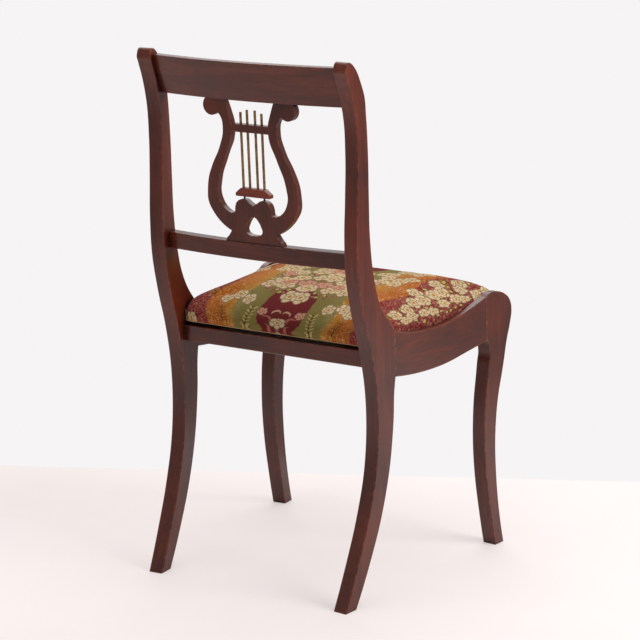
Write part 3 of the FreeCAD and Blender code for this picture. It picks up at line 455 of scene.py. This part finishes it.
def swell(pad):
    """Puffs the pad up under its cover, and no point further than the limit."""
    before = [vertex.co.copy() for vertex in pad.data.vertices]
    held = pad.vertex_groups.new(name="held")
    held.add([v.index for v in pad.data.vertices if v.co.z < SEAT_LOW + HELD_RISE], 1.0, "REPLACE")
    cloth = pad.modifiers.new("cloth", "CLOTH")
    cloth.settings.use_pressure = True
    cloth.settings.uniform_pressure_force = PRESSURE
    cloth.settings.effector_weights.gravity = 0
    cloth.settings.vertex_group_mass = "held"
    cloth.settings.tension_stiffness = 20
    cloth.settings.bending_stiffness = 1.5
    for number in range(1, SWELL_FRAMES + 1):
        SCENE.frame_set(number)
    apply_modifiers(pad)
    for vertex, start in zip(pad.data.vertices, before):
        moved = vertex.co - start
        if moved.length > SWELL_LIMIT:
            vertex.co = start + moved.normalized() * SWELL_LIMIT
    SCENE.frame_set(1)


def open_underside(pad):
    """Leaves only the cover's hem on the underside, as a stapled cover has."""
    mesh = bmesh.new()
    mesh.from_mesh(pad.data)
    inside = []
    for face in mesh.faces:
        x, y, z = face.calc_center_median()
        within = seat_half_width(y) - abs(x) > HEM and SEAT_FRONT + HEM < y < SEAT_BACK - HEM
        if face.normal.z < FACING_DOWN and z < SEAT_LOW + HEM_RISE and within:
            inside.append(face)
    bmesh.ops.delete(mesh, geom=inside, context="FACES")
    mesh.to_mesh(pad.data)
    mesh.free()


def seat_pad():
    pad = solid_of("seat_tapestry", [pad_ring(inset, SEAT_LOW + rise) for rise, inset in PAD_FORM])
    blocks = [post_block(side) for side in (1, -1)]
    for block in blocks:
        notch = pad.modifiers.new("notch", "BOOLEAN")
        notch.operation = "DIFFERENCE"
        notch.object = block
    remesh = pad.modifiers.new("remesh", "REMESH")
    remesh.mode = "VOXEL"
    remesh.voxel_size = VOXEL
    relax = pad.modifiers.new("relax", "SMOOTH")
    relax.factor = 0.5
    relax.iterations = 6
    apply_modifiers(pad)
    for block in blocks:
        bpy.data.objects.remove(block)
    swell(pad)
    keep_in_seat(pad)
    open_underside(pad)
    finer = pad.modifiers.new("finer", "SUBSURF")
    finer.levels = 1
    finer.render_levels = 1
    apply_modifiers(pad)
    lay_cloth(pad)
    skin = pad.modifiers.new("skin", "SOLIDIFY")
    skin.thickness = COVER_THICKNESS
    skin.offset = -1
    pad.data.polygons.foreach_set("use_smooth", [True] * len(pad.data.polygons))
    return pad


def lay_cloth(pad):
    """Where each point lies on the flat cloth, in metres, so that the pattern turns down over the edges."""
    chart = pad.data.uv_layers.new(name="flat_cloth")
    flat = []
    for vertex in pad.data.vertices:
        x, y, z = vertex.co
        drop = FOLD_LEVEL - z
        u, v = x, y
        gaps = ((seat_half_width(y) - x, (1, SPLAY)), (seat_half_width(y) + x, (-1, SPLAY)),
                (SEAT_BACK - y, (0, 1)), (y - SEAT_FRONT, (0, -1)))
        for gap, (out_x, out_y) in gaps:
            pull = max(0.0, 1 - max(gap, 0.0) / FOLD_REACH) ** 2 * drop
            u += out_x * pull
            v += out_y * pull
        flat.append((u, v))
    for loop in pad.data.loops:
        chart.data[loop.index].uv = flat[loop.vertex_index]


# Tapestry: a generic floral of roses, daisies and leaf sprays on bands of red, green and gold

RED = srgb(132, 46, 44)
DEEP_RED = srgb(112, 36, 38)
SAGE = srgb(130, 117, 64)
GOLD = srgb(172, 118, 36)
RUST = srgb(168, 92, 24)
CREAM = srgb(212, 188, 146)
BLUSH = srgb(206, 148, 124)
PINK = srgb(178, 96, 88)
LEAF = srgb(184, 166, 98)
INK = srgb(92, 60, 44)
# Where the pattern's middle line lies across the seat, and the line about which its two ends mirror
CLOTH_MIDDLE, END_MIRROR = -0.008, -0.025
# Threads: rib, twill and plain weave
RIB_PITCH, TWILL_PITCH, PLAIN_PITCH = 0.0024, 0.0013, 0.0012
# Bands of colour by their distance from the middle, in quarters of a metre
BANDS = [(0.0, SAGE), (0.348, SAGE), (0.356, GOLD), (0.50, RUST), (0.556, RUST), (0.564, RED),
         (1.0, DEEP_RED)]
# The red fields: their middles, half width and half depth
FIELD_MIDDLES, FIELD_HALF_WIDTH, FIELD_HALF_DEPTH = (0.100, -0.150), 0.043, 0.060
WOVEN_LINE = srgb(186, 150, 120)

# Single flowers, in metres on the flat cloth from its middle line, each with its mirror image:
# across, back, radius, turn, colour
FLOWERS = [
    (0.117, 0.087, 0.012, 0.4, CREAM), (0.099, 0.076, 0.013, 1.0, CREAM), (0.076, 0.084, 0.012, 0.1, CREAM),
    (0.000, 0.136, 0.016, 0.31, CREAM), (0.036, 0.108, 0.010, 0.7, BLUSH), (0.168, 0.152, 0.013, 0.2, CREAM),
]
PETALS = 5
# Leaf sprays: across, back, turn, length, colour
SPRAYS = [(0.062, 0.160, -1.65, 0.062, LEAF), (0.104, 0.150, -1.3, 0.045, RUST),
          (0.145, 0.085, -1.0, 0.050, GOLD)]
LEAF_PITCH, LEAF_LENGTH, LEAF_HALF_WIDTH, LEAF_SLANT = 0.0100, 0.0125, 0.0028, math.radians(48)
# Curled petals: across, back, turn, radius, colour
CURLS = [(0.024, 0.126, 0.4, 0.011, PINK), (0.022, 0.152, -0.6, 0.010, PINK),
         (0.010, 0.108, 1.4, 0.009, BLUSH)]
# Beds of close flowers: middle across and back, half width, half depth
BOUQUET = (0.0, -0.006, 0.092, 0.080)
GARLAND = (0.186, -0.070, 0.040, 0.125)
SIDE_BUNCH = (0.096, -0.080, 0.034, 0.046)
# How each bed is planted: its flowers' spacing, radius and second colour
PLANTING = [(GARLAND, 0.0270, 0.0138, CREAM), (SIDE_BUNCH, 0.0255, 0.0135, CREAM),
            (BOUQUET, 0.0300, 0.0165, BLUSH)]
BUDS_PER_METRE = 88.0
# How far the weaver's hand strays from the drawn pattern
WANDER = 0.007


def flower_motif():
    """A round flower with two rings of petals, drawn in outline, and an eye, in shares of its radius."""
    motif = Motif("flower", ("Place", "Centre", "Radius", "Turn"), ("Cover", "Line", "Eye"))
    given = motif.given
    offset = motif.from_centre()
    parts = motif.split(offset)
    reach = motif.math("DIVIDE", motif.length(offset), given["Radius"])
    angle = motif.math("ARCTAN2", parts[1], parts[0])
    phase = motif.math("MULTIPLY_ADD", angle, PETALS / 2, given["Turn"])
    outer = motif.math("ABSOLUTE", motif.math("SINE", phase))
    inner = motif.math("ABSOLUTE", motif.math("COSINE", phase))
    outer_rim = motif.math("MULTIPLY_ADD", motif.math("POWER", outer, 0.5), 0.28, 0.72)
    inner_rim = motif.math("MULTIPLY_ADD", motif.math("POWER", inner, 0.6), 0.16, 0.36)
    share = motif.math("DIVIDE", reach, outer_rim)
    motif.feed(motif.made["Cover"], motif.step(share, 1.10, 1.0))
    rim = motif.step(share, 0.88, 0.98)
    gap = motif.math("MULTIPLY", motif.step(outer, 0.30, 0.12), motif.step(reach, 0.45, 0.60))
    ring_gap = motif.math("ABSOLUTE", motif.math("SUBTRACT", reach, inner_rim))
    ring = motif.step(ring_gap, 0.10, 0.04, 0.0, 0.8)
    motif.feed(motif.made["Line"], motif.math("MAXIMUM", rim, motif.math("MAXIMUM", gap, ring)))
    motif.feed(motif.made["Eye"], motif.step(reach, 0.24, 0.16))
    return motif


def spray_motif():
    """A stem with leaves to both sides."""
    motif = Motif("spray", ("Place", "Centre", "Turn", "Length"), ("Cover", "Line"))
    given = motif.given
    parts = motif.split(motif.turned())
    run, across = parts[0], motif.math("ABSOLUTE", parts[1])
    side = motif.math("MULTIPLY", motif.math("SIGN", parts[1]), LEAF_PITCH / 2)
    step = motif.math("WRAP", motif.math("ADD", run, side), LEAF_PITCH * 0.8, -LEAF_PITCH * 0.2)
    cosine, sine = math.cos(LEAF_SLANT), math.sin(LEAF_SLANT)
    out = motif.math("MULTIPLY_ADD", step, cosine, motif.math("MULTIPLY", across, sine))
    over = motif.math("MULTIPLY_ADD", step, -sine, motif.math("MULTIPLY", across, cosine))
    grown = motif.math("DIVIDE", out, LEAF_LENGTH, clamp=True)
    belly = motif.math("SINE", motif.math("MULTIPLY", grown, math.pi))
    breadth = motif.math("MULTIPLY_ADD", belly, LEAF_HALF_WIDTH, 0.00001)
    fill = motif.math("DIVIDE", motif.math("ABSOLUTE", over), breadth)
    stem = motif.step(across, 0.0013, 0.0008)
    blade = motif.step(fill, 1.15, 0.95)
    started = motif.step(run, -0.002, 0.001)
    left = motif.math("SUBTRACT", given["Length"], run)
    inside = motif.math("MULTIPLY", started, motif.step(left, -0.002, 0.001))
    motif.feed(motif.made["Cover"], motif.math("MULTIPLY", motif.math("MAXIMUM", stem, blade), inside))
    motif.feed(motif.made["Line"], motif.step(fill, 0.62, 0.88))
    return motif


def curl_motif():
    """A crescent petal, which is a disc with a bite out of it, in shares of its radius."""
    motif = Motif("curl", ("Place", "Centre", "Turn", "Radius"), ("Cover", "Line"))
    given = motif.given
    scale = motif.math("DIVIDE", 1.0, given["Radius"])
    unit = motif.add("VectorMath", {0: motif.turned(), "Scale": scale}, operation="SCALE").outputs[0]
    disc = motif.length(unit)
    bite = motif.length(motif.vector("SUBTRACT", unit, (0.45, 0.2, 0)))
    outside = motif.step(bite, 0.72, 0.80)
    motif.feed(motif.made["Cover"], motif.math("MULTIPLY", motif.step(disc, 1.05, 0.97), outside))
    edge = motif.math("MAXIMUM", motif.step(disc, 0.86, 0.95), motif.step(bite, 0.92, 0.84))
    motif.feed(motif.made["Line"], edge)
    return motif


def tapestry():
    shader = Shader("tapestry")
    flat = shader.add("UVMap", {}, uv_map="flat_cloth").outputs[0]
    wander = shader.add("TexNoise", {"Vector": flat, "Scale": 90.0, "Detail": 2.0}).outputs["Color"]
    centred = shader.vector("SUBTRACT", wander, (0.5, 0.5, 0.5))
    parts = shader.split(shader.vector("MULTIPLY_ADD", centred, (WANDER, WANDER, 0), flat))
    across = shader.math("ABSOLUTE", shader.math("SUBTRACT", parts[0], CLOTH_MIDDLE))
    back = parts[1]
    mirrored = shader.add("CombineXYZ", {"X": across, "Y": back}).outputs[0]
    from_middle = shader.math("ABSOLUTE", shader.math("SUBTRACT", back, END_MIRROR))
    towards_end = shader.math("ADD", from_middle, END_MIRROR)
    both_ends = shader.add("CombineXYZ", {"X": across, "Y": towards_end}).outputs[0]

    colour = ground(shader, across, back, mirrored)
    spray, curl, flower = spray_motif(), curl_motif(), flower_motif()
    for x, y, turn, length, tint in SPRAYS:
        drawn = spray.draw(shader, Place=both_ends, Centre=(x, y, 0), Turn=turn, Length=length)
        colour = shader.mix(drawn["Cover"], colour, shader.mix(drawn["Line"], tint, INK))
    for x, y, turn, radius, tint in CURLS:
        drawn = curl.draw(shader, Place=both_ends, Centre=(x, y, 0), Turn=turn, Radius=radius)
        colour = shader.mix(drawn["Cover"], colour, shader.mix(drawn["Line"], tint, INK))
    colour = buds(shader, mirrored, colour)
    for bed, pitch, radius, other in PLANTING:
        colour = flower_bed(shader, flower, mirrored, colour, bed, pitch, radius, other)
    for x, y, radius, turn, tint in FLOWERS:
        drawn = flower.draw(shader, Place=both_ends, Centre=(x, y, 0), Radius=radius, Turn=turn)
        colour = petals_over(shader, drawn, colour, tint)

    shade, relief = weave_of(shader, flat)
    fade = shader.noise(shader.here((14, 14, 14)), 1, 3, 0.5)
    faded = shader.ramp(fade, [(0.3, srgb(214, 208, 204)), (0.7, srgb(255, 255, 255))])
    colour = shader.mix(0.5, colour, faded, "MULTIPLY")
    colour = shader.mix(0.38, colour, shade, "MULTIPLY")
    return shader.finish(Base_Color=colour, Roughness=0.92, Specular_IOR_Level=0.1, Normal=relief)


def ground(shader, across, back, mirrored):
    """Bands of colour that run from front to back and sway, with a red field at the middle of each end."""
    sway = shader.math("MULTIPLY", shader.math("SINE", shader.math("MULTIPLY", back, 48)), 0.006)
    band = shader.math("ADD", across, sway)
    colour = shader.ramp(shader.math("MULTIPLY", band, 4), BANDS)
    for middle in FIELD_MIDDLES:
        high = shader.math("DIVIDE", shader.math("SUBTRACT", back, middle), FIELD_HALF_DEPTH)
        wide = shader.math("DIVIDE", across, FIELD_HALF_WIDTH)
        ring = shader.math("ADD", shader.math("POWER", shader.math("ABSOLUTE", high), 4),
                           shader.math("POWER", wide, 2))
        colour = shader.mix(shader.step(ring, 1.06, 0.97), colour, DEEP_RED)
    swirl = shader.noise(mirrored, 55, 2, 0.4, 1.2)
    turn = shader.math("FRACT", shader.math("MULTIPLY", swirl, 9))
    line = shader.step(shader.math("ABSOLUTE", shader.math("SUBTRACT", turn, 0.5)), 0.16, 0.06, 0.0, 0.55)
    lighter = shader.mix(1.0, colour, WOVEN_LINE, "SCREEN")
    return shader.mix(shader.math("MULTIPLY", line, shader.step(across, 0.078, 0.086)), colour, lighter)


def petals_over(shader, drawn, colour, tint):
    lined = shader.mix(shader.math("MULTIPLY", drawn["Line"], 0.75), tint, INK)
    return shader.mix(drawn["Cover"], colour, shader.mix(drawn["Eye"], lined, GOLD))


def inside_bed(shader, place, bed):
    """One inside an oval bed and nought outside it."""
    across, back, half_width, half_depth = bed
    offset = shader.vector("SUBTRACT", place, (across, back, 0))
    unit = shader.vector("DIVIDE", offset, (half_width, half_depth, 1))
    return shader.math("LESS_THAN", shader.length(shader.vector("MULTIPLY", unit, (1, 1, 0))), 1.0)


def scattered(shader, place, density, randomness):
    """Cells strewn over the cloth, each with its own middle and its own random colour."""
    sockets = {"Vector": place, "Scale": density, "Randomness": randomness}
    return shader.add("TexVoronoi", sockets, voronoi_dimensions="2D").outputs


def flower_bed(shader, flower, place, colour, bed, pitch, radius, other):
    """Flowers scattered closely over an oval bed, some in another colour."""
    cells = scattered(shader, place, 1 / pitch, 0.62)
    random = shader.add("SeparateColor", {"Color": cells["Color"]}).outputs
    turn = shader.math("MULTIPLY", random[1], math.pi)
    drawn = flower.draw(shader, Place=place, Centre=cells["Position"], Radius=radius, Turn=turn)
    tint = shader.mix(shader.step(random[0], 0.62, 0.64), CREAM, other)
    shown = shader.math("MULTIPLY", drawn["Cover"], inside_bed(shader, cells["Position"], bed))
    return petals_over(shader, {"Cover": shown, "Line": drawn["Line"], "Eye": drawn["Eye"]}, colour, tint)


def buds(shader, place, colour):
    """Small buds and leaves that fill in between the flowers of the beds."""
    cells = scattered(shader, place, BUDS_PER_METRE, 0.9)
    kind = shader.add("SeparateColor", {"Color": cells["Color"]}).outputs[0]
    among = shader.math("MAXIMUM", inside_bed(shader, cells["Position"], GARLAND),
                        inside_bed(shader, cells["Position"], BOUQUET))
    cover = shader.math("MULTIPLY", among, shader.step(cells["Distance"], 0.42, 0.36))
    tint = shader.mix(shader.step(kind, 0.5, 0.52), LEAF, PINK)
    return shader.mix(cover, colour, shader.mix(shader.step(cells["Distance"], 0.24, 0.32), tint, INK))


def weave_of(shader, flat):
    """The tint and the relief of a ribbed weave."""
    parts = shader.split(flat)

    def thread(coordinate, pitch):
        return shader.math("SINE", shader.math("MULTIPLY", coordinate, 2 * math.pi / pitch))

    rib = thread(parts[1], RIB_PITCH)
    twill = thread(shader.math("ADD", parts[0], parts[1]), TWILL_PITCH)
    fine = shader.math("MULTIPLY", thread(parts[0], PLAIN_PITCH), thread(parts[1], PLAIN_PITCH))
    height = shader.math("ADD", shader.math("MULTIPLY", rib, 0.8), shader.math("ADD", twill, fine))
    shade = shader.ramp(shader.step(height, -2.2, 2.2), [(0.0, srgb(96, 88, 82)), (1.0, srgb(255, 255, 255))])
    return shade, shader.bump(height, 0.00015, 0.5)


# Stage and light

# Two points of the line on which the floor meets the backdrop, and how far the floor runs past them
FLOOR_EDGE = (0.681, -0.130), (-0.209, -0.529)
FLOOR_SIDE, FLOOR_DEPTH = 6, 9
FLOOR_DARK, FLOOR_LIGHT = srgb(243, 233, 231), srgb(247, 238, 236)
# The share of the camera's view of the floor that the lamps don't change
FLOOR_EVEN = 0.5
BACKDROP, ROOM, ROOM_LIGHT = srgb(246, 244, 245), srgb(250, 248, 249), 0.5
# Lamps: name, place, height aimed at, width, length, power
LAMPS = [
    ("key", (-2.7, -0.3, 2.1), 0.8, 1.6, 1.6, 70),
    ("overhead", (0.2, 0.2, 3.0), 0.4, 2.4, 2.4, 26),
    ("front_soft", (0.7, -1.7, 2.2), 0.5, 2.6, 2.0, 30),
]


def stage():
    """A pale floor that ends where the pale backdrop rises, a little way before the chair."""
    start, end = (Vector((x, y, 0)) for x, y in FLOOR_EDGE)
    run = (end - start).normalized()
    away = Vector((run.y, -run.x, 0))
    left, right = start - run * FLOOR_SIDE, end + run * FLOOR_SIDE
    corners = [left, right, right + away * FLOOR_DEPTH, left + away * FLOOR_DEPTH]
    data = bpy.data.meshes.new("floor")
    data.from_pydata(corners, [], [tuple(range(len(corners)))])
    floor = bpy.data.objects.new("floor", data)
    SCENE.collection.objects.link(floor)
    floor.data.materials.append(floor_paint())


def floor_paint():
    shader = Shader("pale_floor")
    scuff = shader.noise(shader.here((5, 5, 5)), 1, 4, 0.6)
    colour = shader.ramp(scuff, [(0.3, FLOOR_DARK), (0.7, FLOOR_LIGHT)])
    material = shader.finish(Base_Color=colour, Roughness=0.6, Specular_IOR_Level=0.2)
    lit = shader.output.inputs["Surface"].links[0].from_socket
    even = shader.add("Emission", {"Color": FLOOR_LIGHT}).outputs[0]
    seen = shader.add("LightPath", {}).outputs["Is Camera Ray"]
    share = shader.math("MULTIPLY", seen, FLOOR_EVEN)
    mixed = shader.add("MixShader", {0: share, 1: lit, 2: even}).outputs[0]
    shader.feed(shader.output.inputs["Surface"], mixed)
    return material


def lamp(name, place, aim, width, length, power):
    data = bpy.data.lights.new(name, "AREA")
    data.shape = "RECTANGLE"
    data.size = width
    data.size_y = length
    data.energy = power
    hung = bpy.data.objects.new(name, data)
    hung.location = place
    hung.rotation_euler = (Vector((0, 0, aim)) - Vector(place)).to_track_quat("-Z", "Y").to_euler()
    hung.visible_camera = False
    SCENE.collection.objects.link(hung)


def light():
    """A bright room that lights the chair, with the backdrop in its place where the camera looks past it."""
    world = bpy.data.worlds.new("studio")
    SCENE.world = world
    world.use_nodes = True
    world.node_tree.nodes.clear()
    studio = Nodes(world.node_tree)
    path = studio.add("LightPath", {}).outputs
    seen = studio.math("MAXIMUM", path["Is Camera Ray"], path["Is Transmission Ray"])
    room = studio.add("Background", {"Color": ROOM, "Strength": ROOM_LIGHT}).outputs[0]
    backdrop = studio.add("Background", {"Color": BACKDROP}).outputs[0]
    mixed = studio.add("MixShader", {0: seen, 1: room, 2: backdrop}).outputs[0]
    studio.add("OutputWorld", {"Surface": mixed})
    for name, place, aim, width, length, power in LAMPS:
        lamp(name, place, aim, width, length, power)


photo_camera()
dress_frame()
smooth_frame()
seat = seat_pad()
seat.data.materials.append(tapestry())
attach(seat, "root")
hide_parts("seat_cover", "seat_padding")
stage()
light()
